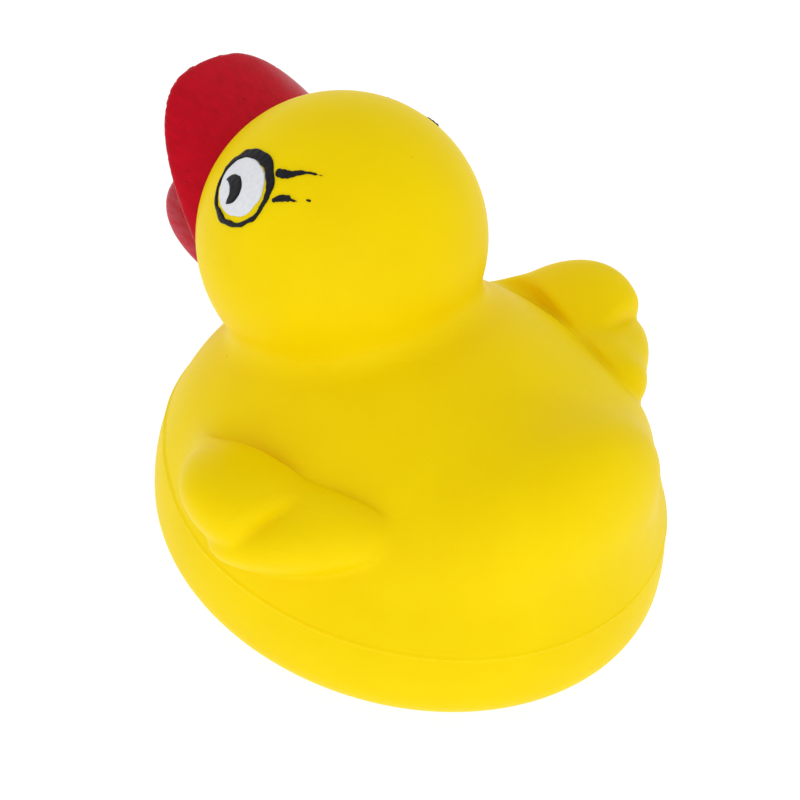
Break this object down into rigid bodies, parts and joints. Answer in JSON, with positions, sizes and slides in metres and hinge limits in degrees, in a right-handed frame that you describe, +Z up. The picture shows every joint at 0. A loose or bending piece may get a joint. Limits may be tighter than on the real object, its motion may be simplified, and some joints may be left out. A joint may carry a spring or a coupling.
{
  "type": "squeaky rubber duck",
  "caption": "Hollow yellow latex toy duck with an open red bill, painted eyes with lashes, lobed wings and a reed squeaker in its flat base.",
  "frame": {"origin": "centre of the bounding box's bottom, on the plane that the flat base stands on", "axes": "+Z up, the bill points along -Y, +X to the duck's left"},
  "size_m": [0.1036, 0.1136, 0.083],
  "materials": {
    "yellow_latex": "satin natural latex, dip moulded, with a fine mould line and a few pinholes",
    "red_paint": "glossy brushed red latex paint with streaks and small bubbles",
    "white_paint": "satin white latex paint",
    "black_paint": "satin black latex paint laid on by brush",
    "white_plastic": "moulded white plastic",
    "clear_plastic": "moulded translucent natural plastic",
    "reed_film": "thin stamped plastic film"
  },
  "bodies": {
    "hull": {"base_skin": "yellow_latex", "squeaker_barrel": "white_plastic", "squeaker_grille": "white_plastic", "reed_tube": "clear_plastic", "reed_clamp": "clear_plastic"},
    "crown": {"head_skin": "yellow_latex", "back_skin": "yellow_latex", "left_wing_skin": "yellow_latex", "right_wing_skin": "yellow_latex", "upper_bill": "red_paint", "lower_bill": "red_paint", "left_eye_white": "white_paint", "right_eye_white": "white_paint", "left_eye_ring": "black_paint", "right_eye_ring": "black_paint", "left_pupil": "black_paint", "right_pupil": "black_paint", "left_lashes": "black_paint", "right_lashes": "black_paint"},
    "reed": {"reed": "reed_film"}
  },
  "joints": [
    {"name": "squeeze", "type": "slide", "parent": "hull", "child": "crown", "axis": [0, 0, 1], "range_m": [-0.008, 0], "stiffness_N_per_m": 1500, "deforming": ["base_skin"]},
    {"name": "reed_beat", "type": "hinge", "parent": "hull", "child": "reed", "pos_m": [0, 0.0064, 0.0184], "axis": [1, 0, 0], "range_deg": [-6, 1.2], "stiffness_Nm_per_rad": 0.0001}
  ]
}
